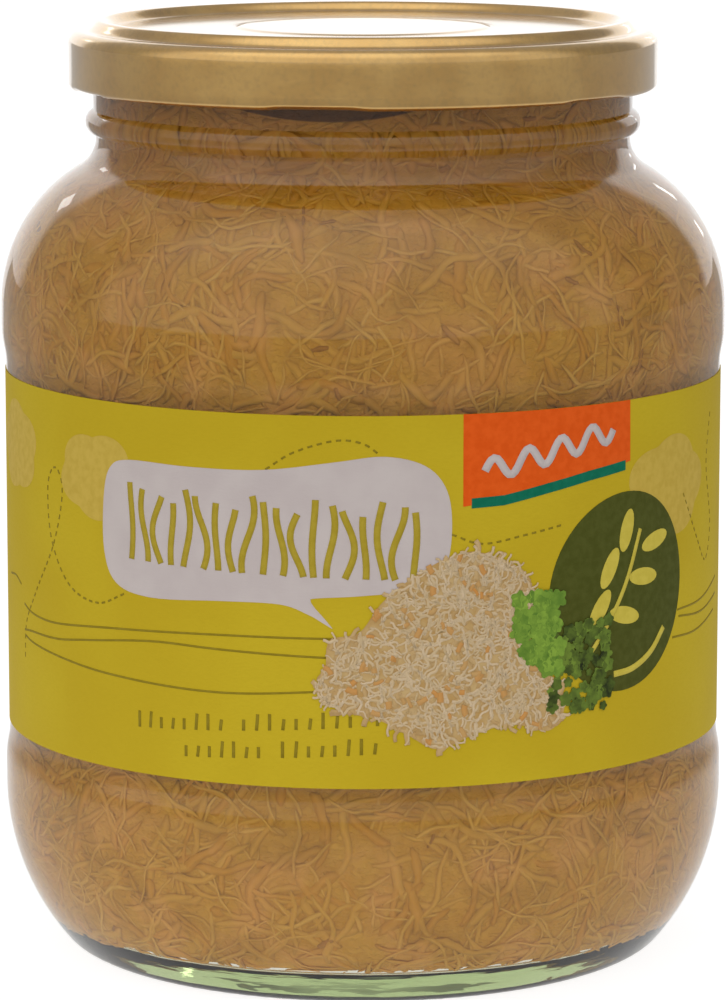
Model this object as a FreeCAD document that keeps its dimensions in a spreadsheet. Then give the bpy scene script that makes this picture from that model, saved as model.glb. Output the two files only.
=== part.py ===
import FreeCAD, Part
import math
import os

import Sketcher

# Sauerkraut jar: a clear glass jar with a recessed label panel, its twist-off lid of
# lacquered tinplate, the paper label round it and the sauerkraut and brine inside.
# Millimetres, +Z up. The origin is the centre of the ring that the jar stands on.
# The jar is round about Z, and -Y is the front of the label.

DRIVING_SIZES = {
    # glass body, outside
    "body_radius": 52.85,        # the two bulges above and below the label
    "heel_height": 24.0,         # from the ground to where the lower bulge is widest
    "heel_radius": 35.0,         # curve of the heel, seen in section
    "corner_radius": 4.5,        # curve from the heel into the standing ring
    "ring_width": 2.0,           # flat width of the standing ring
    "push_up": 2.5,              # hollow under the base
    "lower_band": 3.0,           # straight glass below the label panel
    "upper_band": 3.0,           # straight glass above the label panel
    "ease_radius": 14.0,         # curve from a bulge into the label panel
    "panel_recess": 0.6,         # depth of the label panel
    "shoulder_radius": 23.2,     # curve of the shoulder, seen in section
    "neck_fillet": 5.0,          # curve from the shoulder into the neck
    "neck_land": 0.35,           # straight neck below the bead
    # glass finish: the standard mouth for an 82 mm twist-off lid
    "finish_radius": 39.2,       # glass between the thread ridges
    "finish_height": 13.3,       # from the middle of the bead to the rim
    "neck_step": 0.35,           # how far the neck stands back from the finish
    "bead_reach": 1.15,          # how far the transfer bead stands out from the finish
    "bead_curve": 1.95,          # curve of the bead, seen in section
    "rim_wall": 2.5,             # glass between the finish and the mouth
    "rim_curve": 1.0,            # rounding of the rim
    "ridge_reach": 1.4,          # how far a thread ridge stands out
    "ridge_height": 2.6,         # height of a ridge where it meets the glass
    "ridge_foot": 0.25,          # how far a ridge's foot reaches into the glass
    "ridge_sweep": 38.0,         # degrees that one ridge runs
    "ridge_rise": 2.2,           # how far a ridge climbs over its run
    "ridge_play": 0.1,           # between a lug and the ridge above it
    # glass thickness
    "wall": 2.45,
    "base_thickness": 5.5,       # from the ground to the floor inside
    "floor_corner": 8.0,         # curve from the floor into the wall inside
    # contents
    "headspace": 10.3,           # from the rim down to the brine
    # label
    "label_height": 52.0,
    "label_margin": 0.4,         # glass of the panel that shows above and below
    "label_thickness": 0.12,
    "label_overlap": 9.0,        # where the two ends are glued
    "seam_turn": 90.0,           # degrees from +X to the glued ends: the back of the jar
    # lid
    "lid_thickness": 0.24,
    "lid_play": 1.91,            # from the thread ridges out to the inside of the skirt
    "skirt_drop": 8.5,           # from the rim down to the lower edge of the lid
    "lid_corner": 1.8,           # rounding from the skirt to the top
    "lid_shelf": 0.05,           # outer ledge of the lid below the rim
    "ring_flat": 0.7,            # flat width on the raised ring over the rim
    "ring_flank": 1.65,          # width of the slope on each side of the ring
    "ring_crest": 1.4,           # top of the raised ring above the rim
    "panel_drop": 0.2,           # centre panel of the lid below the rim
    "button_radius": 17.5,       # safety button
    "button_flank": 1.2,         # width of the slope round the button
    "button_rise": 0.4,
    "curl_radius": 0.9,          # rolled lower edge
    "lug_reach": 1.6,            # how far a lug stands in from the curl
    "lug_height": 1.3,
    "lug_width": 12.0,
    "lug_turn": 21.0,            # degrees from +X to the first lug
    "lug_count": 6.0,
}

SAME_HEIGHT = 1e-6           # heights closer than this are the same

# Heights and radii that follow from the driving sizes, in the order they are needed.
WORKED_OUT = {
    # heel and standing ring
    "heel_centre": "sizes.body_radius - sizes.heel_radius",
    "heel_share": "sizes.heel_radius / (sizes.heel_radius - sizes.corner_radius)",
    "corner_span": "sqrt((sizes.heel_radius - sizes.corner_radius)^2"
                   " - (sizes.heel_height - sizes.corner_radius)^2)",
    "ring_outer": "levels.heel_centre + levels.corner_span",
    "ring_inner": "levels.ring_outer - sizes.ring_width",
    "corner_out": "levels.heel_centre + levels.corner_span * levels.heel_share",
    "corner_up": "sizes.heel_height"
                 " - (sizes.heel_height - sizes.corner_radius) * levels.heel_share",
    "push_up_curve": "(levels.ring_inner^2 + sizes.push_up^2) / (2 * sizes.push_up)",
    # label panel
    "panel_radius": "sizes.body_radius - sizes.panel_recess",
    "ease_middle": "sizes.body_radius - sizes.panel_recess / 2",
    "ease_half": "sqrt(sizes.ease_radius^2"
                 " - (sizes.ease_radius - sizes.panel_recess / 2)^2)",
    "lower_band_top": "sizes.heel_height + sizes.lower_band",
    "lower_ease": "levels.lower_band_top + levels.ease_half",
    "panel_low": "levels.lower_ease + levels.ease_half",
    "label_low": "levels.panel_low + sizes.label_margin",
    "label_top": "levels.label_low + sizes.label_height",
    "panel_high": "levels.label_top + sizes.label_margin",
    "upper_ease": "levels.panel_high + levels.ease_half",
    "upper_band_low": "levels.upper_ease + levels.ease_half",
    # shoulder, neck and mouth
    "neck_radius": "sizes.finish_radius - sizes.neck_step",
    "mouth_radius": "sizes.finish_radius - sizes.rim_wall",
    "bead_radius": "sizes.finish_radius + sizes.bead_reach",
    "shoulder_low": "levels.upper_band_low + sizes.upper_band",
    "shoulder_centre": "sizes.body_radius - sizes.shoulder_radius",
    "fillet_centre": "levels.neck_radius + sizes.neck_fillet",
    "shoulder_share": "sizes.shoulder_radius / (sizes.shoulder_radius + sizes.neck_fillet)",
    "neck_low": "levels.shoulder_low + sqrt((sizes.shoulder_radius + sizes.neck_fillet)^2"
                " - (levels.fillet_centre - levels.shoulder_centre)^2)",
    "turn_out": "levels.shoulder_centre"
                " + (levels.fillet_centre - levels.shoulder_centre) * levels.shoulder_share",
    "turn_up": "levels.shoulder_low"
               " + (levels.neck_low - levels.shoulder_low) * levels.shoulder_share",
    # bead and rim
    "bead_low": "levels.neck_low + sizes.neck_land",
    "bead_middle": "levels.bead_low + sqrt(sizes.bead_curve^2"
                   " - (sizes.bead_curve - levels.bead_radius + levels.neck_radius)^2)",
    "bead_high": "levels.bead_middle + sqrt(sizes.bead_curve^2"
                 " - (sizes.bead_curve - levels.bead_radius + sizes.finish_radius)^2)",
    "rim_top": "levels.bead_middle + sizes.finish_height",
    "rim_side": "levels.rim_top - sizes.rim_curve",
    # inside of the glass
    "bore_radius": "levels.panel_radius - sizes.wall",
    "bore_heel": "sizes.heel_radius - sizes.panel_recess - sizes.wall",
    "bore_share": "levels.bore_heel / (levels.bore_heel - sizes.floor_corner)",
    "floor_rise": "sizes.heel_height - sizes.base_thickness - sizes.floor_corner",
    "floor_span": "sqrt((levels.bore_heel - sizes.floor_corner)^2 - levels.floor_rise^2)",
    "floor_edge": "levels.heel_centre + levels.floor_span",
    "floor_out": "levels.heel_centre + levels.floor_span * levels.bore_share",
    "floor_up": "sizes.heel_height - levels.floor_rise * levels.bore_share",
    "bore_shoulder": "sizes.shoulder_radius - sizes.wall",
    "bore_fillet": "sizes.neck_fillet + levels.neck_radius - levels.mouth_radius",
    "bore_centre": "levels.bore_radius - levels.bore_shoulder",
    "bore_turn_share": "levels.bore_shoulder / (levels.bore_shoulder + levels.bore_fillet)",
    "bore_high": "levels.neck_low - sqrt((levels.bore_shoulder + levels.bore_fillet)^2"
                 " - (levels.fillet_centre - levels.bore_centre)^2)",
    "bore_turn_out": "levels.bore_centre"
                     " + (levels.fillet_centre - levels.bore_centre) * levels.bore_turn_share",
    "bore_turn_up": "levels.bore_high"
                    " + (levels.neck_low - levels.bore_high) * levels.bore_turn_share",
    "brine_level": "levels.rim_top - sizes.headspace",
    # lid
    "lid_radius": "sizes.finish_radius + sizes.ridge_reach + sizes.lid_play"
                  " + sizes.lid_thickness",
    "ring_middle": "(sizes.finish_radius + levels.mouth_radius) / 2",
    "lid_low": "levels.rim_top - sizes.skirt_drop",
    "curl_middle": "levels.lid_low + sizes.curl_radius",
    "curl_centre": "levels.lid_radius - sizes.curl_radius",
    "shelf_top": "levels.rim_top - sizes.lid_shelf",
    "crest_top": "levels.rim_top + sizes.ring_crest",
    "lid_panel": "levels.rim_top - sizes.panel_drop",
    "crest_outer": "levels.ring_middle + sizes.ring_flat / 2",
    "crest_inner": "levels.ring_middle - sizes.ring_flat / 2",
    "lug_tip": "levels.curl_centre - sizes.curl_radius - sizes.lug_reach",
    "lug_top": "levels.lid_low + sizes.lug_height",
    "lug_sweep": "2 * asin(sizes.lug_width / (2 * levels.curl_centre)) / 1 deg",
    "seal_top": "levels.crest_top - sizes.lid_thickness / 2",
    "outer_climb": "sizes.ring_crest + sizes.lid_shelf",
    "outer_flank_curve": "(sizes.ring_flank^2 + levels.outer_climb^2)"
                         " / (4 * levels.outer_climb)",
    "inner_climb": "sizes.ring_crest + sizes.panel_drop",
    "inner_flank_curve": "(sizes.ring_flank^2 + levels.inner_climb^2)"
                         " / (4 * levels.inner_climb)",
    "button_curve": "(sizes.button_flank^2 + sizes.button_rise^2)"
                    " / (4 * sizes.button_rise)",
    "button_top": "levels.lid_panel + sizes.button_rise",
    # thread ridges
    "ridge_root": "sizes.finish_radius - sizes.ridge_foot",
    "ridge_depth": "sizes.ridge_reach + sizes.ridge_foot",
    "ridge_curve": "((sizes.ridge_height / 2)^2 + levels.ridge_depth^2)"
                   " / (2 * levels.ridge_depth)",
    "ridge_low": "levels.lug_top + sizes.ridge_play",
    "ridge_middle": "levels.ridge_low + sizes.ridge_height / 2",
    "ridge_high": "levels.ridge_low + sizes.ridge_height",
    "ridge_lead": "sizes.ridge_rise * 360 / sizes.ridge_sweep",
    "ridge_turn": "sizes.lug_turn - levels.lug_sweep / 2",
    # label
    "label_outer": "levels.panel_radius + sizes.label_thickness",
    "overlap_inner": "levels.label_outer - sizes.label_thickness / 2",
    "overlap_outer": "levels.label_outer + sizes.label_thickness",
    "overlap_sweep": "sizes.label_overlap / levels.label_outer * 180 / pi",
}


def fill_sheet(doc, name, cells):
    """One row for each value: its name, and beside it the number or formula, which has
    that name as its alias. A formula names the values of its own sheet without a prefix."""
    sheet = doc.addObject("Spreadsheet::Sheet", name)
    for row, (alias, content) in enumerate(cells.items(), start=1):
        is_formula = isinstance(content, str)
        text = "=" + content.replace(f"{name}.", "") if is_formula else str(content)
        sheet.set(f"A{row}", alias)
        sheet.setAlias(f"B{row}", alias)
        sheet.set(f"B{row}", text)
    doc.recompute()
    return sheet


doc = FreeCAD.newDocument("SauerkrautJar")
sizes = fill_sheet(doc, "sizes", DRIVING_SIZES)
levels = fill_sheet(doc, "levels", WORKED_OUT)


def amount(expression):
    """The number that an expression over the two sheets comes to."""
    return float(sizes.evalExpression(expression))


def origin_feature(body, role):
    """One of a body's own origin planes or axes, such as XZ_Plane or Z_Axis."""
    return next(item for item in body.Origin.OriginFeatures if item.Role == role)


def new_body(name):
    body = doc.addObject("PartDesign::Body", f"{name}_body")
    body.Label = name
    return body


def new_sketch(body, name, turn="0"):
    """An empty sketch in the upright plane through Z, turned about Z from the +X side."""
    sketch = body.newObject("Sketcher::SketchObject", name)
    sketch.AttachmentSupport = [(origin_feature(body, "XZ_Plane"), "")]
    sketch.MapMode = "FlatFace"
    about_z = FreeCAD.Rotation(FreeCAD.Vector(0, 1, 0), amount(turn))
    sketch.AttachmentOffset = FreeCAD.Placement(FreeCAD.Vector(0, 0, 0), about_z)
    if turn != "0":
        sketch.setExpression(".AttachmentOffset.Rotation.Angle", turn)
    return sketch


def hold(sketch, kind, where, name, expression):
    """Fixes a point's radius or height, or an arc's radius, by an expression."""
    value = amount(expression)
    index = sketch.addConstraint(Sketcher.Constraint(kind, *where, value))
    sketch.renameConstraint(index, name)
    sketch.setExpression(f"Constraints.{name}", expression)


def hold_point(sketch, geometry, end, name, radius, height):
    """Fixes one end of an element, on an axis where its radius or height is nothing."""
    root_point = (-1, 1)
    upright_axis = -2
    ground_axis = -1
    if radius == "0":
        on_axis = Sketcher.Constraint("PointOnObject", geometry, end, upright_axis)
        sketch.addConstraint(on_axis)
    else:
        hold(sketch, "DistanceX", (*root_point, geometry, end), f"{name}_radius", radius)
    if height == "0":
        on_ground = Sketcher.Constraint("PointOnObject", geometry, end, ground_axis)
        sketch.addConstraint(on_ground)
    else:
        hold(sketch, "DistanceY", (*root_point, geometry, end), f"{name}_height", height)


def arc_between(start, end, radius, leftward):
    """The arc under half a turn from start to end, bending to the left or to the right."""
    chord = end - start
    along = FreeCAD.Vector(chord).normalize()
    left = FreeCAD.Vector(-along.y, along.x, 0)
    rise = math.sqrt(radius ** 2 - (chord.Length / 2) ** 2)
    centre = (start + end) / 2 + left * (rise if leftward else -rise)
    first, last = (start, end) if leftward else (end, start)
    angles = [math.atan2(point.y - centre.y, point.x - centre.x) for point in (first, last)]
    circle = Part.Circle(centre, FreeCAD.Vector(0, 0, 1), radius)
    return Part.ArcOfCircle(circle, *angles)


def add_section(body, name, outline, turn="0"):
    """A closed section. Each step of the outline is the radius and the height where an
    element ends, and for an arc its bend, "left" or "right", and its radius."""
    sketch = new_sketch(body, name, turn)
    points = [FreeCAD.Vector(amount(step[0]), amount(step[1]), 0) for step in outline]
    ends = []
    for number, step in enumerate(outline):
        start, end = points[number - 1], points[number]
        if len(step) == 2:
            geometry = sketch.addGeometry(Part.LineSegment(start, end), False)
            ends.append((geometry, 1, 2))
        else:
            leftward = step[2] == "left"
            arc = arc_between(start, end, amount(step[3]), leftward)
            geometry = sketch.addGeometry(arc, False)
            ends.append((geometry, 1, 2) if leftward else (geometry, 2, 1))
    for number, (geometry, _, last) in enumerate(ends):
        following, following_first, _ = ends[(number + 1) % len(ends)]
        joined = Sketcher.Constraint("Coincident", geometry, last, following, following_first)
        sketch.addConstraint(joined)
    for number, step in enumerate(outline):
        geometry, _, last = ends[number]
        hold_point(sketch, geometry, last, f"point{number}", step[0], step[1])
        if len(step) == 4:
            hold(sketch, "Radius", (geometry,), f"arc{number}", step[3])
    return sketch


def revolve(body, name, sketch, sweep=None):
    """Turns a section about Z: all the way round, or half of a sweep to each side."""
    feature = body.newObject("PartDesign::Revolution", name)
    feature.Profile = sketch
    feature.ReferenceAxis = (sketch, ["V_Axis"])
    feature.Angle = 360
    if sweep:
        feature.Midplane = True
        feature.Angle = amount(sweep)
        feature.setExpression("Angle", sweep)
    return feature


def repeat_round(body, name, feature, count):
    """Copies a feature evenly about Z."""
    pattern = body.newObject("PartDesign::PolarPattern", name)
    pattern.Originals = [feature]
    pattern.Axis = (origin_feature(body, "Z_Axis"), [""])
    pattern.Angle = 360
    pattern.Occurrences = round(amount(count))
    pattern.setExpression("Occurrences", count)
    body.Tip = pattern
    return pattern


def inner_wall(top_height):
    """The inside of the glass, from the middle of the floor up to a height in the mouth."""
    return [
        ("0", "sizes.base_thickness"),
        ("levels.floor_edge", "sizes.base_thickness"),
        ("levels.floor_out", "levels.floor_up", "left", "sizes.floor_corner"),
        ("levels.bore_radius", "sizes.heel_height", "left", "levels.bore_heel"),
        ("levels.bore_radius", "levels.bore_high"),
        ("levels.bore_turn_out", "levels.bore_turn_up", "left", "levels.bore_shoulder"),
        ("levels.mouth_radius", "levels.neck_low", "right", "levels.bore_fillet"),
        ("levels.mouth_radius", top_height),
    ]


def backwards(outline):
    """The same open outline from its other end, without its first point."""
    steps = []
    for here, ahead in zip(reversed(outline[:-1]), reversed(outline[1:])):
        bend = ahead[2:]
        if bend:
            bend = ("right" if bend[0] == "left" else "left", bend[1])
        steps.append((*here[:2], *bend))
    return steps


def outer_wall():
    """The outside of the glass, from the middle of the push-up to the rounded rim."""
    ease = "sizes.ease_radius"
    body = "sizes.body_radius"
    return [
        ("0", "sizes.push_up"),
        ("levels.ring_inner", "0", "right", "levels.push_up_curve"),
        ("levels.ring_outer", "0"),
        ("levels.corner_out", "levels.corner_up", "left", "sizes.corner_radius"),
        (body, "sizes.heel_height", "left", "sizes.heel_radius"),
        (body, "levels.lower_band_top"),
        ("levels.ease_middle", "levels.lower_ease", "left", ease),
        ("levels.panel_radius", "levels.panel_low", "right", ease),
        ("levels.panel_radius", "levels.panel_high"),
        ("levels.ease_middle", "levels.upper_ease", "right", ease),
        (body, "levels.upper_band_low", "left", ease),
        (body, "levels.shoulder_low"),
        ("levels.turn_out", "levels.turn_up", "left", "sizes.shoulder_radius"),
        ("levels.neck_radius", "levels.neck_low", "right", "sizes.neck_fillet"),
        ("levels.neck_radius", "levels.bead_low"),
        ("levels.bead_radius", "levels.bead_middle", "left", "sizes.bead_curve"),
        ("sizes.finish_radius", "levels.bead_high", "left", "sizes.bead_curve"),
        ("sizes.finish_radius", "levels.rim_side"),
        ("sizes.finish_radius - sizes.rim_curve", "levels.rim_top", "left", "sizes.rim_curve"),
        ("levels.mouth_radius + sizes.rim_curve", "levels.rim_top"),
    ]


def make_jar():
    """The glass: one section turned about Z, with thread ridges round the finish."""
    jar = new_body("jar")
    section = outer_wall()
    section.append(("levels.mouth_radius", "levels.rim_side", "left", "sizes.rim_curve"))
    section.extend(backwards(inner_wall("levels.rim_side")))
    revolve(jar, "glass", add_section(jar, "glass_section", section))

    ridge_section = [
        ("levels.ridge_root", "levels.ridge_low"),
        ("sizes.finish_radius + sizes.ridge_reach", "levels.ridge_middle",
         "left", "levels.ridge_curve"),
        ("levels.ridge_root", "levels.ridge_high", "left", "levels.ridge_curve"),
    ]
    ridge_sketch = add_section(jar, "ridge_section", ridge_section, "levels.ridge_turn")
    doc.recompute()
    ridge = jar.newObject("PartDesign::AdditiveHelix", "ridge")
    ridge.Profile = ridge_sketch
    ridge.ReferenceAxis = (ridge_sketch, ["V_Axis"])
    ridge.Mode = "pitch-height-angle"
    ridge.Pitch = amount("levels.ridge_lead")
    ridge.setExpression("Pitch", "levels.ridge_lead")
    ridge.Height = amount("sizes.ridge_rise")
    ridge.setExpression("Height", "sizes.ridge_rise")
    ridge.LeftHanded = False
    repeat_round(jar, "ridges", ridge, "sizes.lug_count")
    return jar


def make_filling():
    """Sauerkraut and brine: one solid that fills the glass up to the brine level."""
    filling = new_body("sauerkraut")
    section = inner_wall("levels.brine_level")
    section.append(("0", "levels.brine_level"))
    revolve(filling, "contents", add_section(filling, "contents_section", section))
    return filling


def lid_outside():
    """The lid as a solid plug, from the middle of its open side round to its top."""
    rim_side = "levels.lid_radius"
    outer_foot = "levels.crest_outer + sizes.ring_flank"
    outer_flank = "levels.crest_outer + sizes.ring_flank / 2"
    outer_middle = "(levels.shelf_top + levels.crest_top) / 2"
    inner_foot = "levels.crest_inner - sizes.ring_flank"
    inner_flank = "levels.crest_inner - sizes.ring_flank / 2"
    inner_middle = "(levels.lid_panel + levels.crest_top) / 2"
    button_edge = "sizes.button_radius - sizes.button_flank"
    button_flank = "sizes.button_radius - sizes.button_flank / 2"
    button_middle = "(levels.lid_panel + levels.button_top) / 2"
    return [
        ("0", "levels.curl_middle"),
        (rim_side, "levels.curl_middle"),
        (rim_side, "levels.shelf_top - sizes.lid_corner"),
        (f"{rim_side} - sizes.lid_corner", "levels.shelf_top", "left", "sizes.lid_corner"),
        (outer_foot, "levels.shelf_top"),
        (outer_flank, outer_middle, "right", "levels.outer_flank_curve"),
        ("levels.crest_outer", "levels.crest_top", "left", "levels.outer_flank_curve"),
        ("levels.crest_inner", "levels.crest_top"),
        (inner_flank, inner_middle, "left", "levels.inner_flank_curve"),
        (inner_foot, "levels.lid_panel", "right", "levels.inner_flank_curve"),
        ("sizes.button_radius", "levels.lid_panel"),
        (button_flank, button_middle, "right", "levels.button_curve"),
        (button_edge, "levels.button_top", "left", "levels.button_curve"),
        ("0", "levels.button_top"),
    ]


def box_section(inner, outer, low, top):
    """A four-sided section between two radii and two heights."""
    return [(inner, low), (outer, low), (outer, top), (inner, top)]


def make_lid():
    """Pressed tinplate with a rolled edge, a cast-in sealing ring and lugs that hook
    under the thread ridges. The raised ring sits over the rim of the glass."""
    lid = new_body("lid")
    plug = revolve(lid, "pressed_form", add_section(lid, "lid_section", lid_outside()))
    doc.recompute()

    open_side = next(
        f"Face{number}"
        for number, face in enumerate(plug.Shape.Faces, start=1)
        if abs(face.CenterOfMass.z - amount("levels.curl_middle")) < SAME_HEIGHT
    )
    shell = lid.newObject("PartDesign::Thickness", "tinplate")
    shell.Base = (plug, [open_side])
    shell.Value = amount("sizes.lid_thickness")
    shell.setExpression("Value", "sizes.lid_thickness")
    shell.Reversed = True
    shell.Mode = "Skin"
    shell.Join = "Intersection"
    lid.Tip = shell
    doc.recompute()

    seal = box_section("levels.crest_inner", "levels.crest_outer",
                       "levels.rim_top", "levels.seal_top")
    revolve(lid, "sealing_ring", add_section(lid, "seal_section", seal))

    curl_sketch = new_sketch(lid, "curl_section")
    centre = FreeCAD.Vector(amount("levels.curl_centre"), amount("levels.curl_middle"), 0)
    circle = Part.Circle(centre, FreeCAD.Vector(0, 0, 1), amount("sizes.curl_radius"))
    curl = curl_sketch.addGeometry(circle, False)
    hold_point(curl_sketch, curl, 3, "centre", "levels.curl_centre", "levels.curl_middle")
    hold(curl_sketch, "Radius", (curl,), "roll", "sizes.curl_radius")
    revolve(lid, "curl", curl_sketch)

    lug_section = box_section("levels.lug_tip", "levels.curl_centre",
                              "levels.lid_low", "levels.lug_top")
    lug_sketch = add_section(lid, "lug_section", lug_section, "sizes.lug_turn")
    lug = revolve(lid, "lug", lug_sketch, "levels.lug_sweep")
    repeat_round(lid, "lugs", lug, "sizes.lug_count")
    return lid


def make_label():
    """Paper once round the label panel, its two ends glued over each other at the back."""
    label = new_body("label")
    wrap = box_section("levels.panel_radius", "levels.label_outer",
                       "levels.label_low", "levels.label_top")
    revolve(label, "wrap", add_section(label, "wrap_section", wrap))
    overlap = box_section("levels.overlap_inner", "levels.overlap_outer",
                          "levels.label_low", "levels.label_top")
    overlap_sketch = add_section(label, "overlap_section", overlap, "sizes.seam_turn")
    revolve(label, "overlap", overlap_sketch, "levels.overlap_sweep")
    return label


def check_and_write(bodies):
    """Stops on anything that failed to build, then writes one STEP file for each body."""
    doc.recompute()
    for item in doc.Objects:
        if {"Invalid", "Error"} & set(item.State):
            raise RuntimeError(f"{item.Name} failed: {item.State}")
    for body in bodies:
        if body.Shape.isNull() or not body.Shape.isValid() or len(body.Shape.Solids) != 1:
            raise RuntimeError(f"{body.Label} is not one valid solid")
    os.makedirs("parts", exist_ok=True)
    for body in bodies:
        body.Shape.exportStep(f"parts/{body.Label}.step")
        print(f"{body.Label}: {body.Shape.Volume / 1000:.2f} cm3, {len(body.Shape.Faces)} faces")


check_and_write([make_jar(), make_filling(), make_lid(), make_label()])
print(f"rim {amount('levels.rim_top'):.2f}, top {amount('levels.crest_top'):.2f} mm")
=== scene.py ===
# %% [markdown]
# # A big jar of fine shredded cabbage
# The jar is a turned glass with a rolled gold lid, a paper label and a filling of wet shreds.
# The measured frame already holds the size and place of each piece. It is loaded first, and its
# boxes are kept, so that everything made below can be placed by them and compared with them.
# %% Load the measured frame
import math

import bpy
import numpy as np
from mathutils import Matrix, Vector


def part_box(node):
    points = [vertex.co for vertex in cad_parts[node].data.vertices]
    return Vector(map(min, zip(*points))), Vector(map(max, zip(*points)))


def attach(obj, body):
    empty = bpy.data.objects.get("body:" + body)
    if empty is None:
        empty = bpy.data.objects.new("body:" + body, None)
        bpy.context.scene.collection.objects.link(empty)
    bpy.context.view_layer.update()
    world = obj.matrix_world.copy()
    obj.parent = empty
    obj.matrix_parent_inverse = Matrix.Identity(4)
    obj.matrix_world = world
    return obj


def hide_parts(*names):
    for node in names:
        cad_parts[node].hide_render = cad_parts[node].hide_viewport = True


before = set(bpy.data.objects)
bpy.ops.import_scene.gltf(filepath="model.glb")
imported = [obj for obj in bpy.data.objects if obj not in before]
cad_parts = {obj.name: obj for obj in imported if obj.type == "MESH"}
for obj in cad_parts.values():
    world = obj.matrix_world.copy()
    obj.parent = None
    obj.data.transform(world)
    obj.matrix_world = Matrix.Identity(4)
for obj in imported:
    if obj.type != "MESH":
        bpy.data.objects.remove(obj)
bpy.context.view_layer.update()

MM = 0.001
SAME_POINT = 0.0005
jar_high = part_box("jar")[1]
lid_low, lid_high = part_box("lid")
label_low, label_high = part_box("label")
filling_low, filling_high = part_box("sauerkraut")
print("nodes in the frame:", sorted(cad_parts))

# %% [markdown]
# ## The camera
# The jar was seen from a little above its shoulder, with a long lens from about arm's length.
# A long lens keeps the sides of the jar nearly upright, and a close camera still bends the label
# into a smile. No depth of field is used, because the whole jar is sharp.
# %% Set up the camera
CAMERA_DISTANCE = 0.709
CAMERA_HEIGHT = 0.1842
CAMERA_DIP = 9.56
CAMERA_LENS = 175.57

camera_data = bpy.data.cameras.new("camera")
camera_data.lens = CAMERA_LENS
camera = bpy.data.objects.new("camera", camera_data)
bpy.context.scene.collection.objects.link(camera)
camera.location = (0, -CAMERA_DISTANCE, CAMERA_HEIGHT)
camera.rotation_euler = (math.radians(90 - CAMERA_DIP), 0, 0)
bpy.context.scene.camera = camera
print("camera at", tuple(round(value, 3) for value in camera.location))

# %% [markdown]
# ## Writing a shader as sums
# A pattern in a material is a calculation, such as one noise plus half of another. Placing the
# nodes one by one hides that, so two small classes let it be written as ordinary Python.
# `Signal` stands for one output of a node and knows how to be added or multiplied. `Shader` owns
# the material, and adds any other node with its settings first and its sockets after them.
# %% Two small classes for shaders
class Signal:
    """A number, colour or direction that comes out of a node."""

    def __init__(self, shader, socket):
        self.shader = shader
        self.socket = socket

    def worked(self, operation, first, second):
        return self.shader.node("Math", {"operation": operation}, {0: first, 1: second})

    def __add__(self, other):
        return self.worked("ADD", self, other)

    def __radd__(self, other):
        return self.worked("ADD", other, self)

    def __sub__(self, other):
        return self.worked("SUBTRACT", self, other)

    def __rsub__(self, other):
        return self.worked("SUBTRACT", other, self)

    def __mul__(self, other):
        return self.worked("MULTIPLY", self, other)

    def __rmul__(self, other):
        return self.worked("MULTIPLY", other, self)

    def between(self, low, high):
        """0 up to low, 1 from high on, and a soft step in the middle."""
        ends = {"Value": self, "From Min": low, "From Max": high}
        return self.shader.node("MapRange", {"interpolation_type": "SMOOTHSTEP"}, ends)


class Shader:
    """A material, or a world, that is built up in Python."""

    def __init__(self, name, shelf=None):
        shelf = bpy.data.materials if shelf is None else shelf
        self.material = shelf.new(name)
        self.material.use_nodes = True
        self.tree = self.material.node_tree
        self.tree.nodes.clear()

    def node(self, kind, settings=None, sockets=None, out=0):
        """Adds one node: its settings, then the values or signals of its sockets."""
        node = self.tree.nodes.new("ShaderNode" + kind)
        for key, value in (settings or {}).items():
            setattr(node, key, value)
        for key, value in (sockets or {}).items():
            if isinstance(value, Signal):
                self.tree.links.new(value.socket, node.inputs[key])
            else:
                node.inputs[key].default_value = value
        return Signal(self, node.outputs[out]) if node.outputs else None

    def noise(self, size, detail=3.0, stretch=(1, 1, 1), shift=0.0):
        """Cloudy noise whose patches are about size millimetres across."""
        place = self.node("TexCoord", out="Object")
        scaling = {"Vector": place, "Scale": stretch, "Location": (shift, shift, shift)}
        place = self.node("Mapping", None, scaling)
        return self.node("TexNoise", None, {"Vector": place, "Scale": 1 / (size * MM), "Detail": detail})

    def axis(self, name, source="Object"):
        """One coordinate of the place on a piece, or of the direction in a world."""
        place = self.node("TexCoord", out=source)
        return self.node("SeparateXYZ", None, {"Vector": place}, out=name)

    def mix(self, amount, first, second):
        """A blend of two colours."""
        return self.node("Mix", {"data_type": "RGBA"}, {0: amount, 6: first, 7: second}, out=2)

    def bump(self, height, depth):
        """Relief from a height between 0 and 1, depth millimetres deep."""
        return self.node("Bump", None, {"Height": height, "Distance": depth * MM})

    def finish(self, **sockets):
        """The surface itself; an underscore in a socket's name stands for a space."""
        sockets = {name.replace("_", " "): value for name, value in sockets.items()}
        surface = self.node("BsdfPrincipled", None, sockets)
        self.node("OutputMaterial", None, {"Surface": surface})
        return self.material


def paint(red, green, blue):
    """A colour given as it is mixed on a screen, 0 to 255, as the linear light that nodes use."""
    parts = [value / 255 for value in (red, green, blue)]
    linear = [p / 12.92 if p <= 0.04045 else ((p + 0.055) / 1.055) ** 2.4 for p in parts]
    return (*linear, 1.0)


# %% [markdown]
# ## Hands on the mesh
# Most of the jar is round, so one helper turns an outline about the axis, as a potter's template
# would. It starts from a plane merged to a single vertex, extrudes that vertex along the outline,
# and spins the chain once round. The other helpers read or move the vertices, apply a modifier,
# smooth the shading, and file a finished piece with the frame.
# %% Helpers for outlines and turned pieces
def arc(centre, radius, start, end, steps):
    """Points of an arc in the plane of (radius, height), its angles in degrees."""
    turn = np.radians(np.linspace(start, end, steps + 1))
    return np.column_stack((centre[0] + radius * np.cos(turn), centre[1] + radius * np.sin(turn)))


def joined(*runs):
    """One outline made of several runs of points, without the points that they share."""
    points = np.vstack([np.atleast_2d(run) for run in runs])
    apart = np.hypot(*np.diff(points, axis=0).T) > SAME_POINT
    return points[np.r_[True, apart]]


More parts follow.
